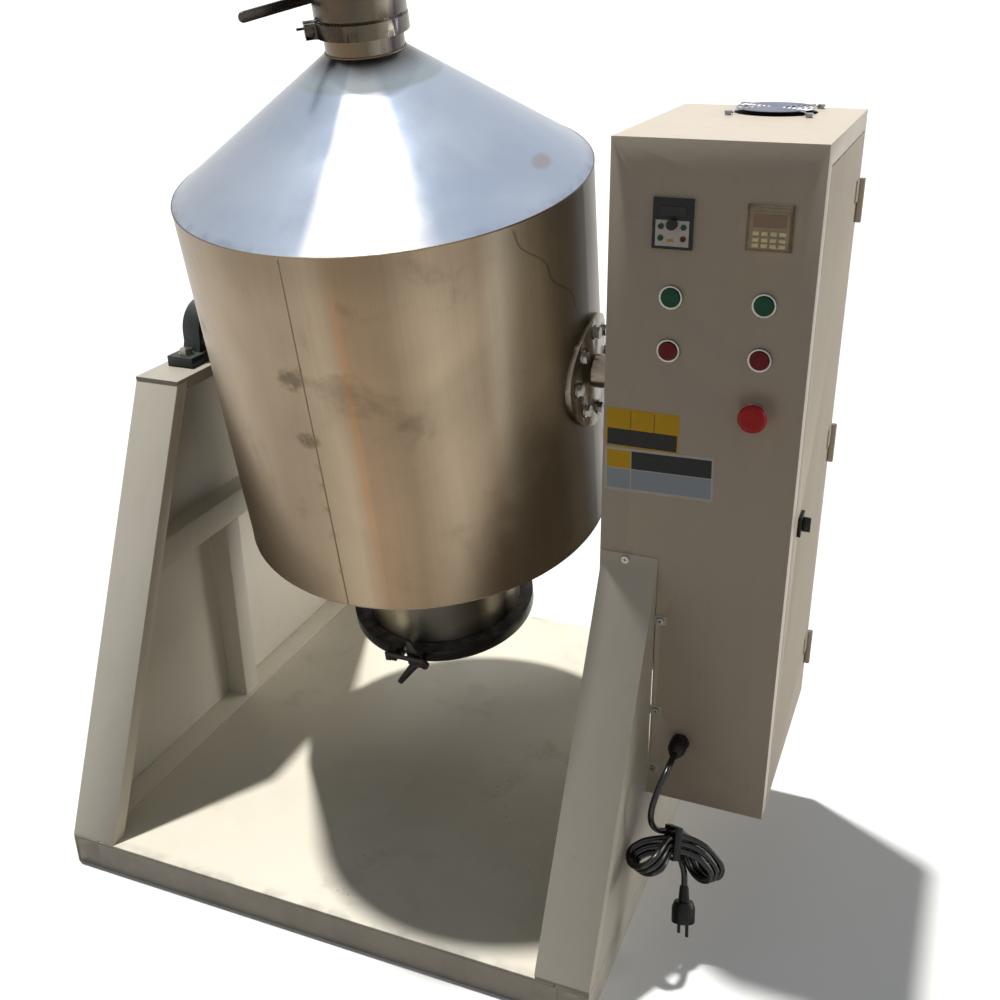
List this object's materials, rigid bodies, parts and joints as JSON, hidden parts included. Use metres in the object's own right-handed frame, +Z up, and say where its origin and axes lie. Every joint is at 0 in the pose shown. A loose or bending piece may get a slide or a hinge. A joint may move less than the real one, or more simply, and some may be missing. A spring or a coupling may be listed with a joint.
{
  "type": "drum mixer",
  "caption": "Tilted double-cone drum on trunnions between two end frames, with a clamped feed lid, a neck valve, a side cabinet with drive and controls, and a tied supply cord.",
  "frame": {"origin": "middle of the base on the ground, under the crossing of its side and front symmetry planes", "axes": "+X along the shaft line towards the cabinet, -Y towards the operator at the controls, +Z up"},
  "size_m": [1.0663, 0.914, 1.3283],
  "materials": {
    "frame_paint": "semi-gloss warm light grey enamel",
    "floor_paint": "semi-gloss cream enamel",
    "door_paint": "semi-gloss cream enamel",
    "bearing_iron": "painted dark green-black casting",
    "bearing_steel": "ground",
    "drum_steel": "bright stainless sheet",
    "pad_steel": "stainless plate",
    "shaft_steel": "turned",
    "valve_steel": "turned stainless",
    "bolt_steel": "bright zinc",
    "zinc_sheet": "galvanised",
    "gear_case": "cast, grey",
    "motor_case": "cast, painted grey-blue",
    "device_grey": "light grey",
    "device_black": "black",
    "timer_case": "beige grey",
    "clear_cover": "clear flip cover",
    "bezel_chrome": "polished",
    "guard_chrome": "bright wire",
    "green_cap": "dark green",
    "red_cap": "dark red",
    "stop_red": "bright red",
    "hoop_black": "black enamel",
    "latch_black": "black",
    "gasket_rubber": "matt",
    "cord_black": "black sheath",
    "plug_black": "black"
  },
  "bodies": {
    "stand": {"base_frame": "frame_paint", "floor_plates": "floor_paint", "leg_tubes": "frame_paint", "frame_caps": "frame_paint", "crossbars": "frame_paint", "struts": "frame_paint", "side_panels": "frame_paint", "end_covers": "frame_paint", "panel_screws": "bolt_steel", "pillow_blocks": "bearing_iron", "bearing_races": "bearing_steel", "bearing_bolts": "bolt_steel", "cabinet_shell": "frame_paint", "hinge_leaves": "bolt_steel", "mounting_plate": "zinc_sheet", "contactors": "device_grey", "drive_plate": "frame_paint", "gearbox": "gear_case", "motor": "motor_case", "motor_cowl": "motor_case", "drive_bolts": "bolt_steel", "fan_guard": "guard_chrome", "fan_frame": "device_black", "inverter": "device_black", "timer": "timer_case", "button_bezels": "bezel_chrome", "contact_blocks": "device_grey", "estop_collar": "bezel_chrome", "cable_gland": "plug_black", "cord_lead": "cord_black", "cord_hank": "cord_black", "cord_tie": "plug_black", "cord_plug": "plug_black"},
    "drum": {"drum_shell": "drum_steel", "trunnion_hubs": "pad_steel", "trunnion_bolts": "bolt_steel", "trunnion_shafts": "shaft_steel", "bearing_inner_rings": "bearing_steel", "neck_clamp": "valve_steel", "valve_body": "valve_steel", "feed_lid": "drum_steel", "lid_gasket": "gasket_rubber"},
    "valve": {"valve_disc": "valve_steel", "valve_handle": "valve_steel"},
    "hoop_left_half": {"hoop_left": "hoop_black"},
    "hoop_right_half": {"hoop_right": "hoop_black"},
    "lever": {"latch_lever": "hoop_black"},
    "link": {"draw_link": "hoop_black"},
    "door": {"cabinet_door": "door_paint", "door_latch": "latch_black"},
    "cam": {"latch_cam": "latch_black"},
    "rotor": {"fan_rotor": "device_black"},
    "green_left": {"green_button_left": "green_cap"},
    "green_right": {"green_button_right": "green_cap"},
    "red_left": {"red_button_left": "red_cap"},
    "red_right": {"red_button_right": "red_cap"},
    "stop_stem": {"estop_stem": "latch_black"},
    "stop_head": {"estop_head": "stop_red"},
    "speed_knob": {"inverter_knob": "device_black"},
    "flip_cover": {"timer_cover": "clear_cover"}
  },
  "joints": [
    {"name": "drum_spin", "type": "hinge", "parent": "stand", "child": "drum", "pos_m": [0, 0, 0.784], "axis": [1, 0, 0], "continuous": true},
    {"name": "valve_turn", "type": "hinge", "parent": "drum", "child": "valve", "pos_m": [-0.023, -0.09624, 1.2885], "axis": [-0.9397, 0.336, 0.0641], "range_deg": [0, 90]},
    {"name": "lever_turn", "type": "hinge", "parent": "hoop_right_half", "child": "lever", "pos_m": [0.001, -0.07334, 0.2559], "axis": [0, -0.9823, -0.1874], "range_deg": [0, 150]},
    {"name": "hoop_right_open", "type": "hinge", "parent": "drum", "child": "hoop_right_half", "pos_m": [-0.023, 0.26162, 0.3198], "axis": [0, -0.1874, 0.9823], "range_deg": [0, 50]},
    {"name": "hoop_left_open", "type": "hinge", "parent": "drum", "child": "hoop_left_half", "pos_m": [-0.023, 0.26162, 0.3198], "axis": [0, -0.1874, 0.9823], "range_deg": [-50, 0]},
    {"name": "link_swing", "type": "hinge", "parent": "lever", "child": "link", "pos_m": [0.01883, -0.07774, 0.25761], "axis": [0, -0.9823, -0.1874], "range_deg": [-150, 0]},
    {"name": "door_swing", "type": "hinge", "parent": "stand", "child": "door", "pos_m": [0.61571, 0.145, 0.6], "axis": [0, 0, 1], "range_deg": [0, 110]},
    {"name": "latch_turn", "type": "hinge", "parent": "door", "child": "cam", "pos_m": [0.611, -0.1203, 0.645], "axis": [1, 0, 0], "range_deg": [-90, 0]},
    {"name": "fan_spin", "type": "hinge", "parent": "stand", "child": "rotor", "pos_m": [0.498, 0.095, 1.1235], "axis": [0, 0, 1], "continuous": true},
    {"name": "green_left_press", "type": "slide", "parent": "stand", "child": "green_left", "axis": [0, 1, 0], "range_m": [0, 0.003], "stiffness_N_per_m": 600},
    {"name": "green_right_press", "type": "slide", "parent": "stand", "child": "green_right", "axis": [0, 1, 0], "range_m": [0, 0.003], "stiffness_N_per_m": 600},
    {"name": "red_left_press", "type": "slide", "parent": "stand", "child": "red_left", "axis": [0, 1, 0], "range_m": [0, 0.003], "stiffness_N_per_m": 600},
    {"name": "red_right_press", "type": "slide", "parent": "stand", "child": "red_right", "axis": [0, 1, 0], "range_m": [0, 0.003], "stiffness_N_per_m": 600},
    {"name": "stop_press", "type": "slide", "parent": "stand", "child": "stop_stem", "axis": [0, 1, 0], "range_m": [0, 0.005], "stiffness_N_per_m": 900},
    {"name": "stop_twist", "type": "hinge", "parent": "stop_stem", "child": "stop_head", "pos_m": [0.5535, -0.2103, 0.82], "axis": [0, -1, 0], "range_deg": [-45, 0], "stiffness_Nm_per_rad": 0.2},
    {"name": "knob_turn", "type": "hinge", "parent": "stand", "child": "speed_knob", "pos_m": [0.438, -0.2013, 1.046], "axis": [0, -1, 0], "range_deg": [-150, 150]},
    {"name": "cover_flip", "type": "hinge", "parent": "stand", "child": "flip_cover", "pos_m": [0.5525, -0.1983, 1.0725], "axis": [-1, 0, 0], "range_deg": [0, 80]}
  ],
  "couplings": [
    {"joint": "hoop_right_open", "follows": "lever_turn", "ratio": 0.33333},
    {"joint": "hoop_left_open", "follows": "lever_turn", "ratio": -0.33333},
    {"joint": "link_swing", "follows": "lever_turn", "ratio": -1}
  ]
}
